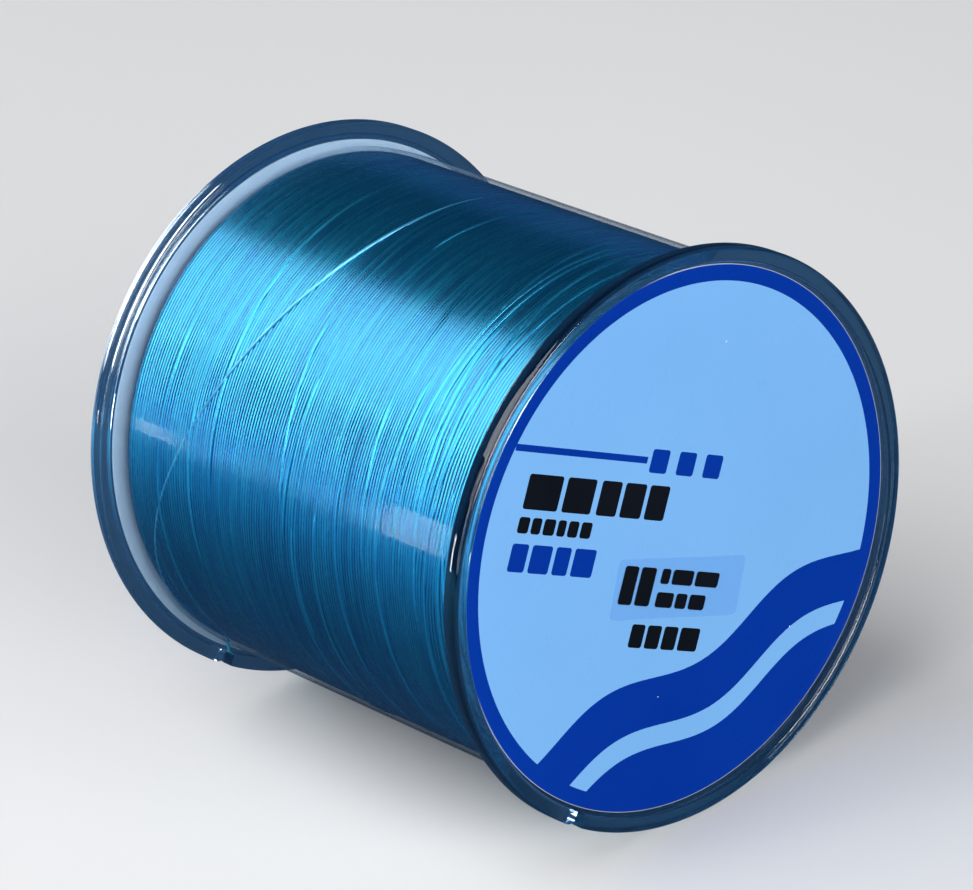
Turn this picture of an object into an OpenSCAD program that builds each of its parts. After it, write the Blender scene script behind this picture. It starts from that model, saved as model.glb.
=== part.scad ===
// Full spool of monofilament fishing line, lying on its two flanges.
// The spool's axis runs along Y and the front label faces -Y. The origin is
// on the ground, under the middle of the spool.

/* [Flanges] */
// Outer diameter of the two flanges
flange_dia = 70; // [60:0.5:90]
// Width over the lips of both flanges
overall_width = 66.8; // [55:0.2:80]
// Height of the lip that stands round each label recess
lip_height = 1.2; // [0.6:0.1:2]
// Radial thickness of that lip
lip_wall = 1.85; // [1:0.05:3]
// Thickness of each flange's web
web_wall = 1.2; // [0.8:0.1:2.5]
// Rounding of the flange's outer edges
edge_round = 0.5; // [0.1:0.05:0.6]

/* [Hub] */
// Outer diameter of the drum that carries the line
drum_dia = 47; // [36:0.5:56]
// Wall thickness of the drum
drum_wall = 1.4; // [1:0.1:2.5]
// Bore of the arbor tube
arbor_bore = 10.4; // [6:0.1:16]
// Wall thickness of the arbor tube
arbor_wall = 1.4; // [1:0.1:2.5]
// Chamfer at each mouth of the arbor bore
arbor_chamfer = 0.5; // [0.2:0.1:1]
// Stiffening ribs between arbor and drum in each half
rib_count = 6; // [3:1:8]
// Thickness of each rib
rib_wall = 1; // [0.6:0.1:2]
// Length of each rib, from the web inwards
rib_length = 18; // [6:1:28]
// Length of the tongue that joins the two halves of the drum
tongue_length = 3; // [2:0.5:6]

/* [Line slots] */
// Width of the slot in each flange that grips the line's end
slot_width = 1.6; // [0.8:0.1:3]
// Depth of each slot below the flange's edge
slot_depth = 2; // [1:0.1:3]
// Rounding of the slot's mouth
slot_flare = 0.8; // [0.3:0.1:1.2]
// Angle of the slots from straight down, towards -X
slot_angle = 36.5; // [0:0.5:180]

/* [Line] */
// Diameter of the line
line_dia = 0.45; // [0.1:0.01:1]
// Outer diameter of the full winding
winding_dia = 63.5; // [50:0.1:66]
// Rounding of the winding's two shoulders
shoulder = 1.4; // [0.4:0.1:3]
// Where along Y the last turn leaves the winding
last_turn_y = 5.6; // [-20:0.1:20]

/* [Wrap] */
// Width of the clear wrap round the winding
wrap_width = 60; // [40:0.5:61]
// Thickness of the clear wrap
wrap_wall = 0.1; // [0.05:0.01:0.3]
// Length of the wrap's overlapping seam
seam_length = 9; // [4:0.5:20]
// Angle of the seam from straight down, towards +X
seam_angle = 65; // [0:1:180]

/* [Labels] */
// Diameter of the two round labels
label_dia = 65.5; // [55:0.1:80]
// Thickness of the labels
label_wall = 0.12; // [0.05:0.01:0.3]
// Centre hole of the rear label
label_hole = 13; // [11:0.5:30]
// Tilt of the front label, clockwise as seen from the front
label_tilt = 26; // [0:1:360]
// Length of the size sticker on the front label
sticker_length = 20.5; // [10:0.5:30]
// Height of the size sticker
sticker_height = 7.2; // [4:0.1:12]
// Turn of the sticker against the label
sticker_turn = 5; // [-15:0.5:15]

/* [Hidden] */
$fn = 144;
seam = 0.02; // film of glue or air between pieces that lie on each other
flange_r = flange_dia / 2;
half_width = overall_width / 2;
web_out = half_width - lip_height;
web_in = web_out - web_wall;
lip_r = flange_r - lip_wall;
drum_r = drum_dia / 2;
arbor_r = arbor_bore / 2;
winding_r = winding_dia / 2;
tape_wall = 0.1;
tape_width = 12;
tape_angle = 42;
end_r = winding_r + line_dia / 2 + seam; // the last turn lies on the winding
wrap_r = end_r + line_dia / 2 + seam;
slot_bottom_r = flange_r - slot_depth;

// Puts a piece drawn about Z on the spool's axis. Its +Z end faces the front.
module on_axis() {
    translate([0, 0, flange_r]) rotate([90, 0, 0]) children();
}

// The same for the rear: +Z of the piece faces +Y, and +X stays +X.
module on_axis_rear() {
    translate([0, 0, flange_r]) rotate([90, 0, 0]) mirror([0, 0, 1]) children();
}

// Points of a quarter circle of radius r about c, from angle a to angle b
function arc(c, r, a, b, steps = 6) =
    [for (i = [0:steps]) c + r * [cos(a + (b - a) * i / steps), sin(a + (b - a) * i / steps)]];

// Section through one half: radius across, distance from the joint plane up.
// step_r is the radius where the tongue and its socket meet, step_z how far
// that step lies below (tongue) or above (socket) the joint plane.
module half_section(step_r, step_z) {
    polygon(concat(
        [[arbor_r, 0], [arbor_r, web_out - arbor_chamfer], [arbor_r + arbor_chamfer, web_out],
         [lip_r, web_out]],
        arc([lip_r + edge_round, half_width - edge_round], edge_round, 180, 90),
        arc([flange_r - edge_round, half_width - edge_round], edge_round, 90, 0),
        arc([flange_r - edge_round, web_in + edge_round], edge_round, 0, -90),
        arc([drum_r + edge_round, web_in - edge_round], edge_round, 90, 180),
        [[drum_r, 0], [step_r, 0], [step_r, step_z], [drum_r - drum_wall, step_z],
         [drum_r - drum_wall, web_in], [arbor_r + arbor_wall, web_in], [arbor_r + arbor_wall, 0]]
    ));
}

// Radial slot with a round bottom and a flared mouth, drawn pointing to +X
module slot_shape() {
    w = slot_width / 2;
    linear_extrude(2 * lip_height + 2 * web_wall, center = true) {
        translate([slot_bottom_r + w, 0]) circle(r = w);
        translate([slot_bottom_r + w, -w]) square([slot_depth, slot_width]);
        difference() {
            translate([flange_r - slot_flare, -w - slot_flare])
                square([2 * slot_flare, slot_width + 2 * slot_flare]);
            for (s = [-1, 1])
                translate([flange_r - slot_flare, s * (w + slot_flare)]) circle(r = slot_flare);
        }
    }
}

module ribs() {
    for (i = [0:rib_count - 1])
        rotate(i * 360 / rib_count + 15)
            translate([arbor_r + arbor_wall / 2, -rib_wall / 2, web_in + web_wall / 2 - rib_length])
                cube([drum_r - drum_wall / 2 - arbor_r - arbor_wall / 2, rib_wall, rib_length]);
}

// One clear half of the spool: flange, half the drum, half the arbor tube
module half(step_r, step_z) {
    difference() {
        union() {
            rotate_extrude() half_section(step_r, step_z);
            ribs();
        }
        rotate(270 - slot_angle) translate([0, 0, web_in + (lip_height + web_wall) / 2]) slot_shape();
    }
}

module front_half() {
    color([0.86, 0.93, 0.97, 0.4])
        on_axis() half(drum_r - drum_wall / 2 - 0.05, -tongue_length);
}

module rear_half() {
    color([0.86, 0.93, 0.97, 0.4])
        on_axis_rear() half(drum_r - drum_wall / 2, tongue_length + 0.2);
}

// Ring about the axis from radius r0 to r1, y0 to y1 along the piece's Z
module ring(r0, r1, y0, y1) {
    rotate_extrude() translate([r0, y0]) square([r1 - r0, y1 - y0]);
}

module tape_piece(grow) {
    rotate(90 - tape_angle / 2 - grow * 4)
        rotate_extrude(angle = tape_angle + grow * 8)
            translate([drum_r + seam - grow, -28 - grow])
                square([tape_wall + 2 * grow, tape_width + 2 * grow]);
}

// The wound line: a ring on the drum with rounded shoulders
module line_winding() {
    w = web_in - seam;
    color([0.09, 0.6, 0.85])
        on_axis() difference() {
            rotate_extrude() polygon(concat(
                [[drum_r + seam, -w + edge_round + seam], [drum_r + edge_round + 2 * seam, -w]],
                arc([winding_r - shoulder, -w + shoulder], shoulder, -90, 0, 8),
                arc([winding_r - shoulder, w - shoulder], shoulder, 0, 90, 8),
                [[drum_r + edge_round + 2 * seam, w], [drum_r + seam, w - edge_round - seam]]
            ));
            tape_piece(seam);
        }
}

module start_tape() {
    color([0.93, 0.9, 0.8]) on_axis() tape_piece(0);
}

// Route of the line's end, for t from 0 to 1. It leaves the last turn near the
// top, crosses the winding towards the rear, follows the rear flange and goes
// out through that flange's slot. Turns are from the top towards -X.
cross_from = -14; // where it leaves the last turn
cross_to = 125; // where it reaches the rear flange
slot_turn = 180 - slot_angle;
exit_t = 0.915; // where it starts to climb into the slot
function ease(t) = let (u = min(1, max(0, t))) u * u * (3 - 2 * u);
function end_turn(t) = cross_from + (slot_turn - cross_from) * min(1, t / 0.945);
function end_y(t) = let (u = min(1, max(0, (end_turn(t) + 3) / (cross_to + 3))))
    last_turn_y + (web_in - 0.75 - last_turn_y) * (2 * u * u - pow(u, 4))
    + 2.35 * ease((t - 0.93) / 0.07);
function end_radius(t) = end_r + (slot_bottom_r + line_dia * 0.55 - end_r) * ease((t - exit_t) / 0.025);
function end_point(t) = let (a = end_turn(t), r = end_radius(t))
    [-r * sin(a), end_y(t), flange_r + r * cos(a)];

// A round strand swept along the route, closed at both ends
module line_end() {
    steps = 78;
    bend_steps = 24; // rings kept for the climb into the slot
    sides = 8;
    rad = line_dia / 2;
    rings = [for (i = [0:steps])
        let (run = steps - bend_steps,
             t = i < run ? exit_t * i / run : exit_t + (1 - exit_t) * (i - run) / bend_steps,
             p = end_point(t),
             q = end_point(min(1, t + 0.002)) - end_point(max(0, t - 0.002)),
             along = q / norm(q),
             out = [p[0], 0, p[2] - flange_r] / norm([p[0], 0, p[2] - flange_r]),
             side_raw = cross(along, out),
             side = side_raw / norm(side_raw),
             up = cross(side, along))
        [for (k = [0:sides - 1])
            p + rad * (cos(k * 360 / sides) * side + sin(k * 360 / sides) * up)]];
    points = [for (ring_points = rings) for (p = ring_points) p];
    color([0.12, 0.66, 0.9])
        polyhedron(points, concat(
            [[for (k = [0:sides - 1]) k]],
            [for (i = [0:steps - 1]) for (k = [0:sides - 1])
                [i * sides + k, (i + 1) * sides + k,
                 (i + 1) * sides + (k + 1) % sides, i * sides + (k + 1) % sides]],
            [[for (k = [0:sides - 1]) (steps + 1) * sides - 1 - k]]
        ), convexity = 6);
}

// Clear sleeve round the winding. Its seam is a second thickness of film.
module wrap_film() {
    turn = seam_length / wrap_r * 180 / PI;
    color([0.8, 0.92, 1, 0.25])
        on_axis() {
            ring(wrap_r, wrap_r + wrap_wall, -wrap_width / 2, wrap_width / 2);
            rotate(270 + seam_angle)
                rotate_extrude(angle = turn)
                    translate([wrap_r + wrap_wall / 2, -wrap_width / 2])
                        square([wrap_wall * 1.5, wrap_width]);
        }
}

module front_label() {
    color([0.5, 0.76, 0.96])
        on_axis() translate([0, 0, web_out + seam]) cylinder(d = label_dia, h = label_wall);
}

module rear_label() {
    color([0.93, 0.95, 0.97])
        on_axis_rear() ring(label_hole / 2, label_dia / 2, web_out + seam, web_out + seam + label_wall);
}

// Small clear sticker on the front label, below its middle
module size_sticker() {
    corner = 0.6;
    color([0.62, 0.84, 0.98, 0.6])
        on_axis() rotate(-label_tilt) translate([1.6, -5.5, web_out + label_wall + 2 * seam])
            rotate(sticker_turn) linear_extrude(0.06) {
                square([sticker_length, sticker_height - 2 * corner], center = true);
                square([sticker_length - 2 * corner, sticker_height], center = true);
                for (sx = [-1, 1], sy = [-1, 1])
                    translate([sx * (sticker_length / 2 - corner), sy * (sticker_height / 2 - corner)])
                        circle(r = corner, $fn = 24);
            }
}

front_half();
rear_half();
line_winding();
line_end();
start_tape();
wrap_film();
front_label();
rear_label();
size_sticker();
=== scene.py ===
"""Looks of the fishing line spool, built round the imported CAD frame.

The spool lies on its two flanges with its axis along Y and the front label facing -Y.
Places on it are given by the distance from the axis, the position along Y, and the turn:
an angle about the axis, 0 at the top and growing towards -X.
"""

import math

import bmesh
import bpy
import numpy as np
from mathutils import Matrix, Vector


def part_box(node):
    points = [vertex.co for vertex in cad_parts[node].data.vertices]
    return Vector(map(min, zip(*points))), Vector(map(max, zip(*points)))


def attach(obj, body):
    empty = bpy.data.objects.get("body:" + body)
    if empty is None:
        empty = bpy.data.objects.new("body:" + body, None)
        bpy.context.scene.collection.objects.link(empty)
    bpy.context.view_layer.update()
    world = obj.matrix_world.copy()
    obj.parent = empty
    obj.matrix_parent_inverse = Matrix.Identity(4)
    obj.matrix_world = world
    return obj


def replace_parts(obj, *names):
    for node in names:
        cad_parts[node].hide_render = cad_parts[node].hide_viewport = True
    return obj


MM = 0.001
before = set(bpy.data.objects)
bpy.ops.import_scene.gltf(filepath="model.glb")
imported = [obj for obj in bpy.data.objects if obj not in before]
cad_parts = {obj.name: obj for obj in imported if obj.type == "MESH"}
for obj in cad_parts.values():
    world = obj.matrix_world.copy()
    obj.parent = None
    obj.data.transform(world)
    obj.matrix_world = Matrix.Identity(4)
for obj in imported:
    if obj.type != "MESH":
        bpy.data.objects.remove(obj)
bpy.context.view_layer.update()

# ---- Sizes, in metres, from the frame where the frame has them ----


def reach(node, axis):
    """Lowest and highest coordinate of a CAD node along one axis."""
    low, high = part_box(node)
    return low[axis], high[axis]


AXIS_Z = sum(reach("line_winding", 2)) / 2
FLANGE_R = reach("front_half", 2)[1] - AXIS_Z
HALF_WIDTH = reach("rear_half", 1)[1]
LABEL_R = reach("front_label", 2)[1] - AXIS_Z
LABEL_FACE_Y = reach("front_label", 1)[0]
LABEL_BACK_Y = reach("front_label", 1)[1]
WINDING_R = reach("line_winding", 2)[1] - AXIS_Z
WINDING_Y = reach("line_winding", 1)[1]
WRAP_Y = reach("wrap_film", 1)[1]

# The clear halves, as in the CAD. RIB_START is in degrees.
SEGMENTS = 288
LIP_HEIGHT = 1.2 * MM
LIP_WIDTH = 1.85 * MM
LIP_R = FLANGE_R - LIP_WIDTH
WEB_WALL = 1.2 * MM
WEB_OUT = HALF_WIDTH - LIP_HEIGHT
WEB_IN = WEB_OUT - WEB_WALL
EDGE_ROUND = 0.5 * MM
DRUM_R = 23.5 * MM
DRUM_WALL = 1.4 * MM
ARBOR_R = 5.2 * MM
ARBOR_WALL = 1.4 * MM
ARBOR_CHAMFER = 0.5 * MM
RIB_COUNT = 6
RIB_WALL = 1.0 * MM
RIB_LENGTH = 18 * MM
RIB_START = 15
JOINT_R = DRUM_R - DRUM_WALL / 2
JOINT_PLAY = 0.05 * MM
TONGUE = 3.0 * MM
TONGUE_PLAY = 0.2 * MM
SLOT_WIDTH = 1.6 * MM
SLOT_DEPTH = 2.0 * MM
SLOT_FLARE = 0.8 * MM
SLOT_TURN = math.radians(180 - 36.5)

# The line and its sleeve. The turns' ridges are shallow, since neighbours lie close together,
# and a strand's tips are pinched to a small part of its radius. STRAND_ANGLE is in degrees.
LINE_DIA = 0.45 * MM
LINE_R = LINE_DIA / 2
RIDGE_HEIGHT = 0.3 * LINE_DIA
SHOULDER = 1.4 * MM
SIDE_GAP = 0.3 * MM
SIDE_INSET = 0.1 * MM
SEAM = 0.02 * MM
PINCH = 0.05
STRAND_ANGLE = 80
NYLON_IOR = 1.53
END_R = WINDING_R + LINE_R + SEAM
WRAP_R = END_R + LINE_R + SEAM
WRAP_WALL = 0.1 * MM
WRAP_OVERLAP_GAP = 0.01 * MM
SEAM_TURN = math.radians(180 + 65)
SEAM_LENGTH = 9 * MM

# The labels and the sticker. INK_LIMIT is in millimetres, like the places of the printing.
LABEL_WALL = LABEL_BACK_Y - LABEL_FACE_Y
LABEL_HOLE_R = 6.5 * MM
LABEL_CENTRE_R = 0.02 * MM
LABEL_TILT = math.radians(26)
REAR_TILT = math.radians(-14)
BORDER_R = 0.94 * LABEL_R
PAPER_EDGE = 0.07 * MM
INK = 0.012 * MM
INK_UNDER = 0.2 * INK
INK_LIMIT = (BORDER_R + 0.4 * MM) / MM
STICKER_Y = reach("size_sticker", 1)[0]

# The floor: its size, where it fades out, and where what the object mirrors of it brightens.
FLOOR_HALF = 3
FLOOR_FADE = (0.42, 1.2)
FLOOR_GLOW = (0.05, 0.22)


# ---- Mesh helpers ----


def on_spool(radius, y, turn):
    """The point at that distance from the axis, place along Y and turn."""
    return np.stack(
        [-radius * np.sin(turn), y + 0 * turn, AXIS_Z + radius * np.cos(turn)], axis=-1
    )


def ease(t):
    """0 to 1 with a soft start and end."""
    t = np.clip(t, 0, 1)
    return t * t * (3 - 2 * t)


def link(name, data):
    """A new object with that data in the scene."""
    obj = bpy.data.objects.new(name, data)
    bpy.context.scene.collection.objects.link(obj)
    return obj


def add_object(name, mesh, materials):
    """A piece of the spool with its materials."""
    for material in materials:
        mesh.materials.append(material)
    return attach(link(name, mesh), "root")


def from_bmesh(name, b):
    """A mesh from b, which is used up."""
    mesh = bpy.data.meshes.new(name)
    b.to_mesh(mesh)
    b.free()
    return mesh


def outline_solid(b, low, high):
    """Adds the closed solid between two outlines of points."""
    low, high = ([b.verts.new(point) for point in outline] for outline in (low, high))
    b.faces.new(low)
    b.faces.new(high)
    for i in range(len(low)):
        j = (i + 1) % len(low)
        b.faces.new((low[i], low[j], high[j], high[i]))


def mesh_from(name, points, quads, smooth_angle=35):
    """A smooth mesh from points and four-cornered faces, turned to face outwards."""
    first, second, third, fourth = (points[quads[:, corner]] for corner in range(4))
    volume = np.sum(first * (np.cross(second, third) + np.cross(third, fourth)))
    if volume < 0:
        quads = quads[:, ::-1]
    mesh = bpy.data.meshes.new(name)
    mesh.vertices.add(len(points))
    mesh.vertices.foreach_set("co", points.astype(np.float32).ravel())
    mesh.loops.add(quads.size)
    mesh.loops.foreach_set("vertex_index", quads.astype(np.int32).ravel())
    mesh.polygons.add(len(quads))
    mesh.polygons.foreach_set("loop_start", np.arange(0, quads.size, 4, dtype=np.int32))
    mesh.update(calc_edges=True)
    mesh.validate()
    smooth(mesh, smooth_angle)
    return mesh


def smooth(mesh, angle):
    """Smooth shading, but sharp at edges steeper than angle, in degrees."""
    mesh.polygons.foreach_set("use_smooth", [True] * len(mesh.polygons))
    mesh.set_sharp_from_angle(angle=math.radians(angle))


def grid_quads(rows, columns, wrap_rows, wrap_columns):
    """Faces of a grid of points, joined round its ends where asked."""
    i, j = np.meshgrid(
        np.arange(rows if wrap_rows else rows - 1),
        np.arange(columns if wrap_columns else columns - 1),
        indexing="ij",
    )
    i2, j2 = (i + 1) % rows, (j + 1) % columns
    return np.stack(
        [i * columns + j, i2 * columns + j, i2 * columns + j2, i * columns + j2], axis=-1
    ).reshape(-1, 4)


def turned(name, section, segments, smooth_angle=35):
    """A closed section of (radius, y) points turned about the spool's axis."""
    section = np.array(section, float)
    turn = np.linspace(0, 2 * math.pi, segments, endpoint=False)[:, None]
    points = on_spool(section[None, :, 0], section[None, :, 1], turn)
    quads = grid_quads(segments, len(section), True, True)
    return mesh_from(name, points.reshape(-1, 3), quads, smooth_angle)


def arc(centre, radius, start, end, steps=8):
    """Points of an arc in a section, angles in degrees."""
    angles = np.radians(np.linspace(start, end, steps + 1))
    return [(centre[0] + radius * math.cos(a), centre[1] + radius * math.sin(a)) for a in angles]


def swept(route, radius, sides):
    """Points and faces of a round strand along a route of points, pinched shut at both ends."""
    along = np.gradient(route, axis=0)
    along /= np.linalg.norm(along, axis=1, keepdims=True)
    out = route * [1, 0, 1] - [0, 0, AXIS_Z]
    side = np.cross(along, out)
    side /= np.linalg.norm(side, axis=1, keepdims=True)
    up = np.cross(side, along)
    angle = np.linspace(0, 2 * math.pi, sides, endpoint=False)[None, :, None]
    route, side, up = (np.concatenate([v[:1], v, v[-1:]]) for v in (route, side, up))
    thick = np.full(len(route), radius)
    thick[[0, -1]] = radius * PINCH
    ring = np.cos(angle) * side[:, None] + np.sin(angle) * up[:, None]
    points = route[:, None] + ring * thick[:, None, None]
    return points.reshape(-1, 3), grid_quads(len(route), sides, False, True)


def boolean(obj, cutter, operation):
    """Joins or cuts obj with cutter and applies the result."""
    step = obj.modifiers.new(operation, "BOOLEAN")
    step.operation, step.solver, step.object = operation, "EXACT", cutter
    result = obj.evaluated_get(bpy.context.evaluated_depsgraph_get())
    baked = bpy.data.meshes.new_from_object(result)
    obj.modifiers.clear()
    old, obj.data = obj.data, baked
    bpy.data.meshes.remove(old)
    bpy.data.objects.remove(cutter)


# ---- Materials: node helpers ----


class Shader:
    """Short calls that build one material's node tree.

    A Mix node has its inputs by number: 0 is the factor, 6 and 7 are the two colours, and
    output 2 is the colour. A Mix Shader node has its shaders at 1 and 2.
    """

    def __init__(self, name):
        self.material = bpy.data.materials.new(name)
        self.material.use_nodes = True
        self.tree = self.material.node_tree
        self.tree.nodes.clear()

    def add(self, kind, inputs=(), **settings):
        """A new node; an input is linked where it is a socket, and set where it is a value."""
        node = self.tree.nodes.new("ShaderNode" + kind)
        for key, value in settings.items():
            setattr(node, key, value)
        for key, value in dict(inputs).items():
            if isinstance(value, bpy.types.NodeSocket):
                self.tree.links.new(value, node.inputs[key])
            else:
                node.inputs[key].default_value = value
        return node

    def math(self, operation, a, b=0.0):
        """a and b joined by an operation of the Math node."""
        return self.add("Math", {0: a, 1: b}, operation=operation).outputs[0]

    def place(self, scale=(1, 1, 1)):
        """Object coordinates, multiplied by scale."""
        where = self.add("TexCoord").outputs["Object"]
        return self.add("Mapping", {"Vector": where, "Scale": scale}).outputs[0]

    def noise(self, scale, squeeze=(1, 1, 1), detail=3.0, roughness=0.5):
        """Noise, finer along an axis by its squeeze, so it streaks across that axis."""
        vector = self.place(squeeze)
        inputs = {"Vector": vector, "Scale": scale, "Detail": detail, "Roughness": roughness}
        return self.add("TexNoise", inputs).outputs["Fac"]

    def span(self, value, low, high, start=0.0, end=1.0):
        """value, mapped from start..end to low..high and clamped."""
        return self.add(
            "MapRange",
            {"Value": value, "From Min": start, "From Max": end, "To Min": low, "To Max": high},
        ).outputs[0]

    def mix_colour(self, factor, a, b):
        """Colour a where factor is 0 and b where it is 1."""
        return self.add("Mix", {0: factor, 6: a, 7: b}, data_type="RGBA").outputs[2]

    def bump(self, height, distance, strength):
        """A normal bent by height, which stands for up to distance."""
        inputs = {"Height": height, "Distance": distance, "Strength": strength}
        return self.add("Bump", inputs).outputs[0]

    def mix_shader(self, factor, a, b):
        """Shader a where factor is 0 and b where it is 1."""
        return self.add("MixShader", {0: factor, 1: a, 2: b}).outputs[0]

    def output(self, kind, **inputs):
        """A new node's first output, with its inputs by name, underscores for blanks."""
        inputs = {key.replace("_", " "): value for key, value in inputs.items()}
        return self.add(kind, inputs).outputs[0]

    def from_axis(self):
        """Distance from the spool's axis."""
        across, _, up = self.add("SeparateXYZ", {0: self.place()}).outputs
        up = self.math("SUBTRACT", up, AXIS_Z)
        across, up = (self.math("MULTIPLY", side, side) for side in (across, up))
        return self.math("SQRT", self.math("ADD", across, up))

    def specks(self, scale, share, size):
        """1 on a few small specks, 0 elsewhere: share of the cells, size within a cell."""
        cells = self.add("TexVoronoi", {"Vector": self.place(), "Scale": scale})
        near = self.math("LESS_THAN", cells.outputs["Distance"], size)
        pick = self.add("SeparateColor", {0: cells.outputs["Color"]}).outputs[0]
        return self.math("MULTIPLY", near, self.math("LESS_THAN", pick, share))

    def finish(self, surface):
        """The material, with that surface."""
        self.tree.links.new(surface, self.add("OutputMaterial").inputs["Surface"])
        return self.material


def rgb(red, green, blue):
    """An opaque colour, in linear light."""
    return (red, green, blue, 1.0)


# ---- Materials ----

FILM_TINT = rgb(0.97, 0.985, 1.0)


def clear_plastic():
    """Moulded clear polystyrene, slightly wavy, with dust specks on it.

    It casts a light shadow, and what is seen from inside a wall gets a little blue haze.
    """
    s = Shader("clear_plastic")
    wave = s.noise(45, detail=1)
    rough = s.span(s.noise(900, detail=4), 0.01, 0.04, 0.35, 0.75)
    clear = s.output(
        "BsdfPrincipled",
        Base_Color=rgb(0.66, 0.78, 0.87),
        Roughness=rough,
        IOR=1.57,
        Transmission_Weight=1.0,
        Normal=s.bump(wave, 0.02 * MM, 0.15),
    )
    haze = s.output("BsdfDiffuse", Color=rgb(0.06, 0.26, 0.6))
    inside = s.math("MULTIPLY", s.add("NewGeometry").outputs["Backfacing"], 0.05)
    dust = s.output("BsdfDiffuse", Color=rgb(0.85, 0.88, 0.9))
    dusty = s.mix_shader(s.specks(1500, 0.006, 0.08), s.mix_shader(inside, clear, haze), dust)
    see = s.output("BsdfTransparent", Color=rgb(0.85, 0.92, 0.95))
    return s.finish(s.mix_shader(s.add("LightPath").outputs["Is Shadow Ray"], dusty, see))


def nylon(name, deep, light, metallic=0.9):
    """Translucent blue monofilament: painted shade between the turns, streaked along them.

    The share of metal stands for light that enters a strand and comes back tinted. The last
    turns beside each flange have one even, paler colour, which is painted light.
    """
    s = Shader(name)
    fine = s.noise(60, (1, 26, 1), 4, 0.62)
    broad = s.noise(22, (1, 9, 1), 2, 0.5)
    # The finest streaks are painted highlights: broken glints along the strands. The two coarser
    # noises are random tone.
    painted_glint = s.noise(170, (1, 9, 1), 2, 0.6)
    streak = s.math("ADD", s.math("MULTIPLY", fine, 0.45), s.math("MULTIPLY", broad, 0.25))
    streak = s.math("ADD", streak, s.math("MULTIPLY", painted_glint, 0.3))
    colour = s.mix_colour(s.span(streak, 0.0, 1.0, 0.36, 0.64), deep, light)
    # Painted light: over the last turns beside each flange the colour turns half way to one even,
    # paler blue.
    along = s.add("SeparateXYZ", {0: s.place()}).outputs[1]
    end = s.span(s.math("ABSOLUTE", along), 0.0, 0.5, 22 * MM, 31 * MM)
    colour = s.mix_colour(end, colour, rgb(0.02, 0.4, 0.59))
    # Painted shade: the colour darkens to a near-black blue down between the turns, by the
    # distance from the axis.
    ridge = s.span(s.from_axis(), 0.0, 1.0, WINDING_R - 0.12 * MM, WINDING_R - 0.04 * MM)
    surface = s.output(
        "BsdfPrincipled",
        Base_Color=s.mix_colour(ridge, rgb(0.0, 0.05, 0.14), colour),
        Metallic=metallic,
        Roughness=s.span(fine, 0.2, 0.32, 0.3, 0.7),
        IOR=NYLON_IOR,
        Specular_Tint=rgb(0.05, 0.3, 0.6),
        Coat_Weight=0.9,
        Coat_Roughness=0.2,
        Coat_IOR=NYLON_IOR,
        Normal=s.bump(s.noise(2500), 0.01 * MM, 0.2),
    )
    return s.finish(surface)


def clear_film():
    """Thin clear film: it lets everything through and only adds gloss on its outer faces."""
    s = Shader("clear_film")
    normal = s.bump(s.noise(55, (1, 0.5, 1), 2), 0.02 * MM, 0.6)
    gloss = s.output("BsdfGlossy", Color=rgb(1, 1, 1), Roughness=0.06, Normal=normal)
    fresnel = s.output("Fresnel", IOR=1.15, Normal=normal)
    outside = s.math("SUBTRACT", 1.0, s.add("NewGeometry").outputs["Backfacing"])
    share = s.math("MULTIPLY", fresnel, outside)
    return s.finish(s.mix_shader(share, s.output("BsdfTransparent", Color=FILM_TINT), gloss))


def printed(name, colour, tone):
    """Coated label stock in one ink, with faint tone changes, orange peel and dust."""
    s = Shader(name)
    base = s.mix_colour(s.span(s.noise(45, detail=5), 0.0, 1.0, 0.3, 0.7), colour, tone)
    surface = s.output(
        "BsdfPrincipled",
        Base_Color=s.mix_colour(s.specks(700, 0.01, 0.08), base, rgb(0.92, 0.95, 1.0)),
        Roughness=s.span(s.noise(300), 0.25, 0.37, 0.3, 0.7),
        Specular_IOR_Level=0.13,
        Normal=s.bump(s.noise(700, detail=2), 0.02 * MM, 0.15),
    )
    return s.finish(surface)


def paper():
    """The white back and cut edge of a label."""
    s = Shader("paper")
    fibre = s.noise(1200, detail=6, roughness=0.7)
    surface = s.output(
        "BsdfPrincipled",
        Base_Color=s.mix_colour(fibre, rgb(0.37, 0.38, 0.42), rgb(0.44, 0.45, 0.49)),
        Roughness=s.span(fibre, 0.55, 0.75),
        Normal=s.bump(fibre, 0.02 * MM, 0.3),
    )
    return s.finish(surface)


def tape():
    """Cream adhesive tape that holds the start of the line."""
    s = Shader("tape")
    grain = s.noise(500, (1, 3, 1), 4)
    surface = s.output(
        "BsdfPrincipled",
        Base_Color=s.mix_colour(grain, rgb(0.7, 0.62, 0.45), rgb(0.8, 0.74, 0.58)),
        Roughness=s.span(grain, 0.4, 0.6),
        Normal=s.bump(grain, 0.03 * MM, 0.4),
    )
    return s.finish(surface)


def sticker_film():
    """Thin matt film that veils the label a little."""
    s = Shader("sticker_film")
    grain = s.noise(900)
    veil = s.output(
        "BsdfPrincipled",
        Base_Color=rgb(0.26, 0.54, 0.88),
        Roughness=s.span(grain, 0.3, 0.45, 0.3, 0.7),
        Normal=s.bump(grain, 0.01 * MM, 0.2),
    )
    return s.finish(s.mix_shader(0.08, s.output("BsdfTransparent", Color=FILM_TINT), veil))


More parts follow.
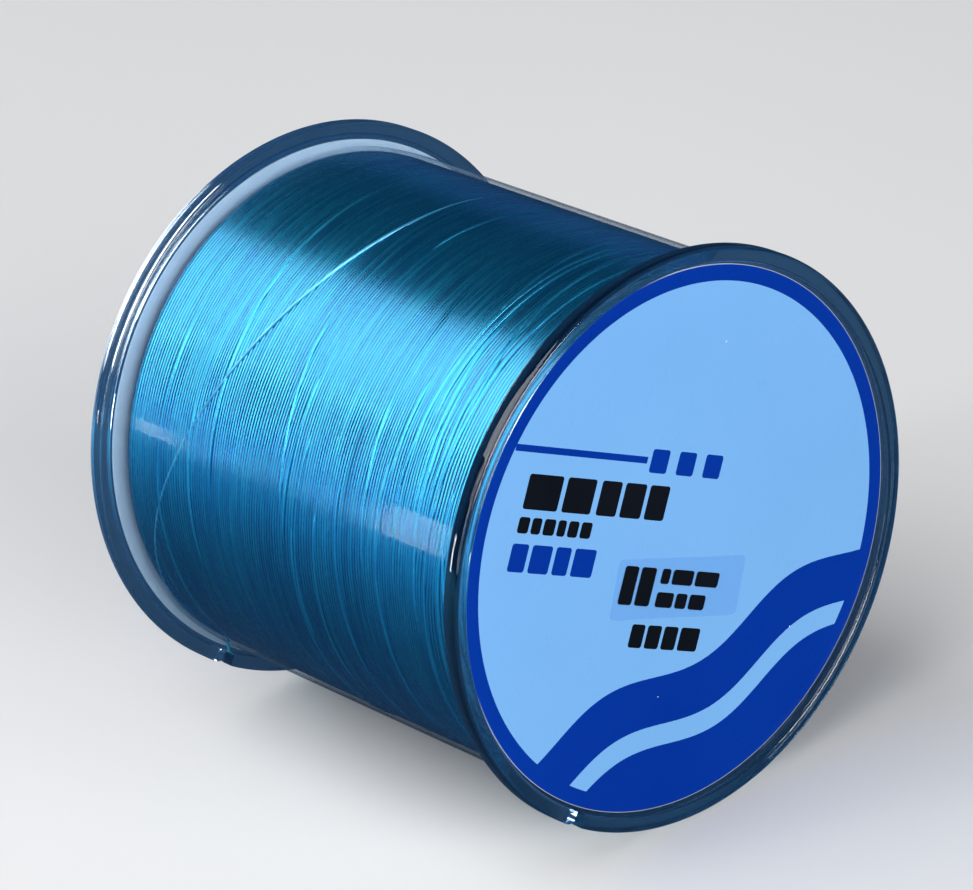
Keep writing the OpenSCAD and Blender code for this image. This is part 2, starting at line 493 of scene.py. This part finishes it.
def floor_material():
    """Plain pale floor that fades into the backdrop.

    What the object mirrors of it is dark, as in the photo, and brighter towards -X.
    """
    s = Shader("floor")
    grain = s.noise(3, detail=4)
    seen = s.mix_colour(grain, rgb(0.67, 0.655, 0.635), rgb(0.7, 0.685, 0.665))
    # Painted reflection: what the object mirrors of the floor, and sees of it through its clear
    # walls, is a dark blue.
    mirrored = s.mix_colour(grain, rgb(0.02, 0.05, 0.09), rgb(0.024, 0.056, 0.1))
    place = s.place()
    # Painted light: from 5 to 22 cm out towards -X the mirrored floor turns to a lit blue, and
    # nearer the spool it keeps the painted shade.
    left = s.math("MULTIPLY", s.add("SeparateXYZ", {0: place}).outputs[0], -1.0)
    lit = s.span(left, 0.0, 1.0, *FLOOR_GLOW)
    mirrored = s.mix_colour(lit, mirrored, rgb(0.03, 0.26, 0.44))
    tone = s.mix_colour(s.add("LightPath").outputs["Is Camera Ray"], mirrored, seen)
    surface = s.output("BsdfPrincipled", Base_Color=tone, Roughness=0.8, Specular_IOR_Level=0.15)
    away = s.add("VectorMath", {0: place}, operation="LENGTH").outputs["Value"]
    fade = {"Value": away, "From Min": FLOOR_FADE[0], "From Max": FLOOR_FADE[1]}
    far = s.add("MapRange", fade, interpolation_type="SMOOTHSTEP").outputs[0]
    return s.finish(s.mix_shader(far, surface, s.output("BsdfTransparent")))


CLEAR = clear_plastic()
LINE = nylon("nylon_line", rgb(0.0, 0.2, 0.42), rgb(0.012, 0.37, 0.55))
# Paler copies of the line's nylon, painted light: the turns that ride on top and the line's end
# show as bright lines.
LINE_LIT = nylon("nylon_line_lit", rgb(0.01, 0.3, 0.55), rgb(0.03, 0.48, 0.7))
LINE_END_LIT = nylon("nylon_line_end_lit", rgb(0.06, 0.38, 0.62), rgb(0.12, 0.52, 0.76), 0.6)
FILM = clear_film()
STICKER = sticker_film()
PAPER = paper()
TAPE = tape()
PALE_BLUE = printed("pale_blue_print", rgb(0.19, 0.44, 0.79), rgb(0.205, 0.46, 0.82))
DEEP_BLUE = printed("deep_blue_print", rgb(0.001, 0.03, 0.29), rgb(0.001, 0.036, 0.32))
BLACK = printed("black_print", rgb(0.003, 0.004, 0.006), rgb(0.006, 0.007, 0.011))


# ---- Clear halves ----


def half_section(tongue_r, tongue_y):
    """Section of one half for y from the joint outwards, as in the CAD."""
    return (
        [(ARBOR_R, 0), (ARBOR_R, WEB_OUT - ARBOR_CHAMFER), (ARBOR_R + ARBOR_CHAMFER, WEB_OUT)]
        + [(LIP_R, WEB_OUT)]
        + arc((LIP_R + EDGE_ROUND, HALF_WIDTH - EDGE_ROUND), EDGE_ROUND, 180, 90)
        + arc((FLANGE_R - EDGE_ROUND, HALF_WIDTH - EDGE_ROUND), EDGE_ROUND, 90, 0)
        + arc((FLANGE_R - EDGE_ROUND, WEB_IN + EDGE_ROUND), EDGE_ROUND, 0, -90)
        + arc((DRUM_R + EDGE_ROUND, WEB_IN - EDGE_ROUND), EDGE_ROUND, 90, 180, 4)
        + [(DRUM_R, 0), (tongue_r, 0), (tongue_r, tongue_y), (DRUM_R - DRUM_WALL, tongue_y)]
        + [(DRUM_R - DRUM_WALL, WEB_IN), (ARBOR_R + ARBOR_WALL, WEB_IN), (ARBOR_R + ARBOR_WALL, 0)]
    )


def rib(index, side):
    """One stiffening rib between arbor and drum, as a block."""
    inner = ARBOR_R + ARBOR_WALL / 2
    middle_y = side * (WEB_IN + WEB_WALL / 2 - RIB_LENGTH / 2)
    size = Matrix.Diagonal((JOINT_R - inner, RIB_LENGTH, RIB_WALL, 1))
    place = Matrix.Translation(((inner + JOINT_R) / 2, middle_y, 0))
    turn = Matrix.Rotation(-math.radians(index * 360 / RIB_COUNT + RIB_START), 4, "Y")
    b = bmesh.new()
    bmesh.ops.create_cube(b, size=1)
    pose = Matrix.Translation((0, 0, AXIS_Z)) @ turn @ place @ size
    bmesh.ops.transform(b, matrix=pose, verts=b.verts)
    return link("rib", from_bmesh("rib", b))


def slot_outline():
    """Outline of the line slot: across, and distance from the axis, round-bottomed and flared."""
    half = SLOT_WIDTH / 2
    flared = half + SLOT_FLARE
    bottom = FLANGE_R - SLOT_DEPTH + half
    mouth = FLANGE_R - SLOT_FLARE
    beyond = FLANGE_R + SLOT_FLARE
    return (
        arc((0, bottom), half, 180, 360, 16)
        + arc((flared, mouth), SLOT_FLARE, 180, 90)
        + [(flared, beyond), (-flared, beyond)]
        + arc((-flared, mouth), SLOT_FLARE, 90, 0)
    )


def slot_cutter(side):
    """A block of the slot's outline, through the flange on that side."""
    sin, cos = math.sin(SLOT_TURN), math.cos(SLOT_TURN)
    inside, outside = (
        [(-r * sin - x * cos, side * y, AXIS_Z + r * cos - x * sin) for x, r in slot_outline()]
        for y in (WEB_IN - MM, HALF_WIDTH + MM)
    )
    b = bmesh.new()
    outline_solid(b, inside, outside)
    bmesh.ops.recalc_face_normals(b, faces=b.faces)
    return link("slot", from_bmesh("slot", b))


def clear_half(name, node, side, tongue_r, tongue_y):
    """One clear half; its tongue or socket has the radius and end given."""
    section = [(r, side * y) for r, y in half_section(tongue_r, tongue_y)]
    obj = add_object(name, turned(name, section, SEGMENTS), [CLEAR])
    for index in range(RIB_COUNT):
        boolean(obj, rib(index, side), "UNION")
    boolean(obj, slot_cutter(side), "DIFFERENCE")
    smooth(obj.data, angle=32)
    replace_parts(obj, node)


# ---- Line ----


def periodic_noise(rng, turn, laps):
    """Smooth random curves round the spool, one for each row of laps, the waves in a lap."""
    rows, waves = laps.shape
    total = np.zeros((rows, len(turn)))
    for wave in range(waves):
        phase = rng.uniform(0, 2 * math.pi, rows)
        height = rng.normal(0, 1, rows) / (1 + 0.35 * wave)
        total += height[:, None] * np.cos(laps[:, wave, None] * turn[None] + phase[:, None])
    return total / math.sqrt(waves)


def ripple(rng, y, turn, wavelength, laps):
    """Waves along Y whose height swells and ebbs laps times round the spool."""
    phase, turn_phase = rng.uniform(0, 2 * math.pi, 2)
    wave = np.sin(2 * math.pi * y / wavelength + phase)[None]
    return wave * np.cos(laps * turn + turn_phase)[:, None]


def laid_unevenly(rng, y_rest, turn):
    """Y of each turn all round: slow wandering, and finer waves in the front half."""
    wander = 0.0
    for wavelength, height in ((17 * MM, 0.2 * MM), (8 * MM, 0.07 * MM), (31 * MM, 0.4 * MM)):
        for laps in (1, 2, 3, 5):
            wander = wander + height / 2.2 * ripple(rng, y_rest, turn, wavelength, laps)
    # The turns keep still beside the flanges; the finer waves come in from y = -9 to -23 mm.
    edge = np.clip((WINDING_Y - np.abs(y_rest)) / (6 * MM), 0, 1)[None]
    y = y_rest[None] + wander * edge**2
    front = np.clip((-y_rest / MM - 9) / 14, 0, 1)[None] * edge
    for laps in (9, 14, 20, 27):
        y = y + 0.05 * MM * front * ripple(rng, y_rest, turn, 4.3 * MM, laps)
    return y


def winding():
    """The wound line: one ridge for each turn, laid slightly unevenly, with round shoulders."""
    rng = np.random.default_rng(7)
    segments, samples = 180, 4
    turns = int(2 * (WINDING_Y - SIDE_GAP) / LINE_DIA)
    turn = np.linspace(0, 2 * math.pi, segments, endpoint=False)
    # Places across the winding: which turn each belongs to, and how far it is from its middle.
    across = np.linspace(-0.5, turns - 0.5, turns * samples + 1)
    index = np.clip(np.round(across).astype(int), 0, turns - 1)
    off_middle = across - index
    y_rest = (across - (turns - 1) / 2) * LINE_DIA
    y = laid_unevenly(rng, y_rest, turn)
    # Ridges are lower where the turns crowd, and higher where they spread, least at the rear.
    deepest = np.interp(y_rest, (-12 * MM, 6 * MM), (1.6, 1.1))[None]
    spacing = np.clip(np.gradient(y, y_rest, axis=1), 0.4, deepest)

    # Here and there a turn rides up a little, and all of them vary by a hair.
    laps = rng.integers(1, 7, (turns, 4)).astype(float)
    ride = np.maximum(periodic_noise(rng, turn, laps) - 1.15, 0) * 0.06 * MM
    ride += periodic_noise(rng, turn, laps) * 0.012 * MM
    ridge = (np.sqrt(np.clip(1 - (2 * off_middle * 0.97) ** 2, 0, 1)) - 1) * RIDGE_HEIGHT
    radius = WINDING_R + ridge[None] * spacing + ride.T[:, index]
    past = np.clip(np.abs(y) - (WINDING_Y - SHOULDER), 0, None)
    radius -= SHOULDER - np.sqrt(np.clip(SHOULDER**2 - past**2, 0, None))

    foot = WINDING_Y - SIDE_INSET
    first, last = (on_spool(np.full(segments, DRUM_R + SEAM), end, turn) for end in (-foot, foot))
    outer = on_spool(radius, y, turn[:, None])
    points = np.concatenate([first[:, None], outer, last[:, None]], axis=1)
    quads = grid_quads(segments, points.shape[1], True, True)
    mesh = mesh_from("winding", points.reshape(-1, 3), quads, STRAND_ANGLE)
    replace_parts(add_object("winding", mesh, [LINE]), "line_winding")


def stray_turns(count=26):
    """Parts of turns that ride over their neighbours at a slight angle, most of them in front.

    Each rises out of the winding at one end and sinks back at the other.
    """
    rng = np.random.default_rng(11)
    front_share, reach_y = 0.55, 29 * MM
    points, quads, base = [], [], 0
    t = np.linspace(0, 1, 90)
    for number in range(count):
        start = rng.uniform(-40, 70)
        length = rng.uniform(45, 120)
        low, high = (-28.5, -15) if number < count * front_share else (-15, 27)
        y0 = rng.uniform(low, high) * MM
        drift = rng.choice([-1, 1]) * rng.uniform(0.5, 2.4) * MM
        turn = np.radians(start + length * t)
        y = np.clip(y0 + drift * ease(t), -reach_y, reach_y)
        rise = ease(np.minimum(t, 1 - t) / 0.2)
        radius = WINDING_R - 0.45 * MM + 0.38 * MM * rise
        strand, faces = swept(on_spool(radius, y, turn), LINE_R, 8)
        points.append(strand)
        quads.append(faces + base)
        base += len(strand)
    points, quads = np.concatenate(points), np.concatenate(quads)
    mesh = mesh_from("stray_turns", points, quads, STRAND_ANGLE)
    # Their nylon is a paler copy of the line's, painted light.
    add_object("stray_turns", mesh, [LINE_LIT])


def line_end():
    """The line's end: off the last turn, across the winding and out through the rear slot.

    t runs from 0 at the last turn to 1 at the tip. The line lies bedded between the turns,
    least where it crosses the bright band, and sinks again before it climbs into the slot.
    """
    cross_from, cross_to, rise_to, dip_from, dip_to = np.radians((-14, 125, 24, 46, 86))
    leave_y, follow_y = 5.6 * MM, WEB_IN - 0.75 * MM
    t = np.linspace(0, 1, 320)
    turn = cross_from + (SLOT_TURN - cross_from) * np.minimum(1, t / 0.945)

    lag = math.radians(3)
    u = np.clip((turn + lag) / (cross_to + lag), 0, 1)
    through_slot = 2.35 * MM * ease((t - 0.93) / 0.07)
    y = leave_y + (follow_y - leave_y) * (2 * u**2 - u**4) + through_slot

    bedded = 0.48 * MM - 0.24 * MM * ease((turn - cross_from) / (rise_to - cross_from))
    bedded += 0.22 * MM * ease((turn - dip_from) / (dip_to - dip_from))
    slot_r = FLANGE_R - SLOT_DEPTH + 0.55 * LINE_DIA
    radius = END_R - bedded + (slot_r - END_R + bedded) * ease((t - 0.915) / 0.025)

    points, quads = swept(on_spool(radius, y, turn), LINE_R, 12)
    mesh = mesh_from("line_end_strand", points, quads, STRAND_ANGLE)
    # Its nylon is a paler copy of the line's, painted light.
    obj = add_object("line_end_strand", mesh, [LINE_END_LIT])
    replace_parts(obj, "line_end")


# ---- Wrap, labels and sticker ----


def wrap():
    """Clear sleeve round the winding."""
    rows = 40
    out_and_back = [(WRAP_R, y) for y in np.linspace(-WRAP_Y, WRAP_Y, rows)]
    out_and_back += [(WRAP_R + WRAP_WALL, y) for y in np.linspace(WRAP_Y, -WRAP_Y, rows)]
    obj = add_object("wrap_sleeve", turned("wrap_sleeve", out_and_back, 240), [FILM])
    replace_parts(obj, "wrap_film")


def wrap_seam():
    """Overlap of the sleeve's two ends."""
    steps = 16
    turn = np.linspace(SEAM_TURN, SEAM_TURN + SEAM_LENGTH / WRAP_R, steps)
    low = WRAP_R + WRAP_WALL + WRAP_OVERLAP_GAP
    high = low + WRAP_WALL
    corners = ((low, -WRAP_Y), (low, WRAP_Y), (high, WRAP_Y), (high, -WRAP_Y))
    rings = np.stack([on_spool(np.full(steps, r), y, turn) for r, y in corners], axis=1)
    points = rings.reshape(-1, 3)
    last = 4 * steps - 1
    ends = [[0, 1, 2, 3], [last, last - 1, last - 2, last - 3]]
    quads = np.concatenate([grid_quads(steps, 4, False, True), ends])
    obj = add_object("wrap_seam", mesh_from("wrap_seam", points, quads), [FILM])


def on_label(x, up, depth, side, tilt):
    """A point depth above a label's face, from label coordinates as read from outside."""
    across = x * math.cos(tilt) + up * math.sin(tilt)
    height = up * math.cos(tilt) - x * math.sin(tilt)
    return (-side * across, side * (abs(LABEL_FACE_Y) + depth), AXIS_Z + height)


def label_disc(name, node, side, hole):
    """A round label: pale printed face, deep blue border, paper edge and paper back."""
    face_y, back_y = side * abs(LABEL_FACE_Y), side * abs(LABEL_BACK_Y)
    rings = [hole, LABEL_R * 0.5, BORDER_R, LABEL_R - PAPER_EDGE, LABEL_R]
    section = [(r, face_y) for r in rings] + [(r, back_y) for r in reversed(rings)]
    mesh = turned(name, section, SEGMENTS, smooth_angle=20)
    obj = add_object(name, mesh, [PALE_BLUE, DEEP_BLUE, PAPER])
    for polygon in mesh.polygons:
        radius = math.hypot(polygon.center.x, polygon.center.z - AXIS_Z)
        if abs(polygon.center.y - face_y) > LABEL_WALL / 10 or radius > LABEL_R - PAPER_EDGE:
            polygon.material_index = 2
        elif radius > BORDER_R:
            polygon.material_index = 1
    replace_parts(obj, node)


def bar(x0, x1, low, high, corner=0.35):
    """Outline of a bar with round corners, in millimetres on the label."""
    corner = min(corner, (x1 - x0) / 2.01, (high - low) / 2.01)
    return (
        arc((x1 - corner, high - corner), corner, 90, 0, 4)
        + arc((x1 - corner, low + corner), corner, 0, -90, 4)
        + arc((x0 + corner, low + corner), corner, 270, 180, 4)
        + arc((x0 + corner, high - corner), corner, 180, 90, 4)
    )


def bar_row(start, low, high, widths, gap):
    """A row of bars that stands where a row of lettering would."""
    bars = []
    for width in widths:
        bars.append(bar(start, start + width, low, high))
        start += width + gap
    return bars


def wave_band(top, bottom, lean):
    """Outline of a wavy band across the label, leaning by degrees and cut off by the border."""
    along = np.linspace(-INK_LIMIT, INK_LIMIT, 241)
    rim = np.sqrt(np.clip(INK_LIMIT**2 - along**2, 0, None))
    wave = 1.7 * np.sin(2 * math.pi * (along - 8) / 31)
    high = np.minimum(top + wave, rim)
    low = np.maximum(bottom + wave, -rim)
    keep = high > low + 0.01
    along, high, low = along[keep], high[keep], low[keep]
    edge = list(zip(along, high)) + list(zip(along[::-1], low[::-1]))
    cos, sin = math.cos(math.radians(lean)), math.sin(math.radians(lean))
    return [(x * cos - up * sin, x * sin + up * cos) for x, up in edge]


def ink(name, outlines, material, side, tilt, slot, depth=0.0):
    """Thin closed plates of ink on a label's face, one for each outline in millimetres."""
    b = bmesh.new()
    for outline in outlines:
        under, face = (
            [on_label(x * MM, up * MM, depth + height, side, tilt) for x, up in outline]
            for height in (INK_UNDER, INK)
        )
        outline_solid(b, under, face)
    bmesh.ops.recalc_face_normals(b, faces=b.faces)
    add_object(name, from_bmesh(name, b), [material])


def front_print():
    """Rule, rows of bars and two wave bands in place of the front label's printing.

    The last rows are printed on the sticker, which stands proud of the label.
    """
    place = {"side": -1, "tilt": LABEL_TILT, "slot": "front_label_print"}
    waves = [wave_band(-14.6, -21.0, 32), wave_band(-23.8, -INK_LIMIT, 32)]
    rule = [bar(-29.4, -8.4, 8.6, 9.4, 0.1)]
    marks = bar_row(-7.8, 7.6, 10.4, (2.8, 2.8, 2.8), 1.6)
    small_blue = bar_row(-26.3, -5.2, -1.9, (2.6, 3.2, 2.4, 3.4), 0.6)
    ink("front_label_blue_ink", waves + rule + marks + small_blue, DEEP_BLUE, **place)
    black = bar_row(-26.2, 2.1, 6.2, (5.4, 4.6), 0.7)
    black += bar_row(-14.6, 2.1, 6.2, (3.2, 3.4, 3.2), 0.6)
    black += bar_row(-26.2, -0.7, 1.2, (1.7, 1.5, 1.8, 1.3, 1.6, 1.7), 0.4)
    black += bar_row(-4.3, -13.0, -10.2, (2.2, 2.3, 2.3, 3.2), 0.45)
    ink("front_label_black_ink", black, BLACK, **place)
    rows = bar_row(-7.7, -8.0, -3.4, (2.2, 2.4), 0.5)
    rows += bar_row(-1.6, -5.2, -3.4, (1.4, 3.4, 3.8), 0.45)
    rows += bar_row(-1.6, -8.0, -6.2, (2.8, 1.8, 2.6), 0.45)
    proud = abs(STICKER_Y) - abs(LABEL_FACE_Y)
    place["slot"] = "sticker_film"
    ink("size_sticker_ink", rows, BLACK, depth=proud, **place)


def rear_print():
    """The rear label's printing: the same waves with fewer bars."""
    place = {"side": 1, "tilt": REAR_TILT, "slot": "rear_label_print"}
    waves = [wave_band(-15.0, -20.5, 10), wave_band(-23.5, -INK_LIMIT, 10)]
    ink("rear_label_blue_ink", waves + [bar(-16, 16, 20.6, 21.2, 0.1)], DEEP_BLUE, **place)
    black = bar_row(-15.8, 14.2, 18.0, (6.2, 4.8, 7.6, 5.4, 5.0), 0.65)
    black += bar_row(-13.5, 10.2, 12.0, (3.6, 5.2, 2.6, 6.4, 3.2, 3.6), 0.5)
    ink("rear_label_black_ink", black, BLACK, **place)


# ---- Stage ----


def lights_and_world():
    """A pale backdrop that is dark where the object mirrors it, and large soft lights.

    main_key and the three left panels below it make the bright band on the line and its fade.
    front_fill lights the front label, rear_fill and back_fill the far sides, rim the rim's
    edge, and the two strips are the small sharp reflections in the sleeve.
    """
    scene = bpy.context.scene
    scene.view_settings.view_transform = "Standard"
    scene.world = bpy.data.worlds.new("studio")
    scene.world.use_nodes = True
    tree = scene.world.node_tree
    seen = tree.nodes.new("ShaderNodeLightPath").outputs["Is Camera Ray"]
    tone = tree.nodes.new("ShaderNodeMix")
    tone.data_type = "RGBA"
    tone.inputs[6].default_value = rgb(0.012, 0.03, 0.07)
    tone.inputs[7].default_value = rgb(0.7, 0.705, 0.715)
    tree.links.new(seen, tone.inputs[0])
    tree.links.new(tone.outputs[2], tree.nodes["Background"].inputs["Color"])

    centre = (0, 0, AXIS_Z)
    white, pale, blue = (1.0, 1.0, 1.0), (0.5, 0.76, 1.0), (0.25, 0.5, 1.0)
    panel("main_key", (-0.7, 0.15, 1.15), centre, (1.8, 1.12), 3.15, white)
    panel("left_mid", (-1.17, 0.15, 0.645), centre, (1.7, 0.3), 1.2, white)
    panel("left_low", (-1.3, 0.1, 0.37), centre, (1.6, 0.34), 1.6, pale)
    panel("left_base", (-1.3, 0.1, 0.12), centre, (1.6, 0.14), 2.4, pale)
    panel("front_fill", (-0.27, -1.75, 0.65), centre, (1.6, 0.9), 8.3, white)
    panel("back_fill", (1.25, 0.5, 0.62), centre, (0.8, 0.7), 0.3, blue)
    panel("rear_fill", (-0.2, 1.85, 0.85), centre, (0.8, 0.6), 4.5, white)
    panel("rim", (-0.5, 0.15, 0.3), centre, (0.08, 0.3), 6.0, white)
    panel("left_strip", (-0.43, 0.38, 0.048), (-0.03, -0.02, 0.045), (0.016, 0.11), 12.0, white)
    panel("rear_strip", (-0.43, 0.474, 0.02), (-0.03, 0.026, 0.045), (0.011, 0.04), 12.0, white)


def panel(name, place, aim, size, radiance, colour):
    """A rectangular soft light of even brightness at place, facing aim."""
    data = bpy.data.lights.new(name, "AREA")
    data.shape, data.size, data.size_y = "RECTANGLE", *size
    data.color = colour
    data.energy = radiance * math.pi * size[0] * size[1]
    obj = link(name, data)
    obj.location = place
    obj.rotation_euler = (Vector(aim) - Vector(place)).to_track_quat("-Z", "Y").to_euler()


def camera():
    """The photo's view, from the front left and above, with a little roll."""
    turn, rise, roll = math.radians(38.71), math.radians(25.49), math.radians(-6.66)
    distance = 606.5 * MM
    aim = Vector((-12.6 * MM, LABEL_FACE_Y + 17.5 * MM, AXIS_Z + 12.2 * MM))
    out, height = math.cos(rise), math.sin(rise)
    back = Vector((-math.sin(turn) * out, -math.cos(turn) * out, height))
    level = Vector((math.cos(turn), -math.sin(turn), 0))
    up = back.cross(level)
    right = math.cos(roll) * level + math.sin(roll) * up
    up = back.cross(right)
    data = bpy.data.cameras.new("camera")
    data.lens, data.sensor_width, data.clip_start, data.clip_end = 195.4, 36, 0.05, 20
    obj = link("camera", data)
    pose = Matrix((right, up, back)).transposed().to_4x4()
    pose.translation = aim + distance * back
    obj.matrix_world = pose
    bpy.context.scene.camera = obj


def stage_floor():
    """A square floor under the spool."""
    half = FLOOR_HALF
    corners = [(-half, -half, 0), (half, -half, 0), (half, half, 0), (-half, half, 0)]
    mesh = bpy.data.meshes.new("floor")
    mesh.from_pydata(corners, [], [(0, 1, 2, 3)])
    mesh.materials.append(floor_material())
    link("floor", mesh)


# ---- The scene ----

camera()
stage_floor()
lights_and_world()
clear_half("front_flange_half", "front_half", -1, JOINT_R - JOINT_PLAY, -TONGUE)
clear_half("rear_flange_half", "rear_half", 1, JOINT_R, TONGUE + TONGUE_PLAY)
winding()
stray_turns()
line_end()
wrap()
wrap_seam()
label_disc("front_label_disc", "front_label", -1, LABEL_CENTRE_R)
label_disc("rear_label_disc", "rear_label", 1, LABEL_HOLE_R)
front_print()
rear_print()
for node, material in (("start_tape", TAPE), ("size_sticker", STICKER)):
    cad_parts[node].data.materials.clear()
    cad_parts[node].data.materials.append(material)
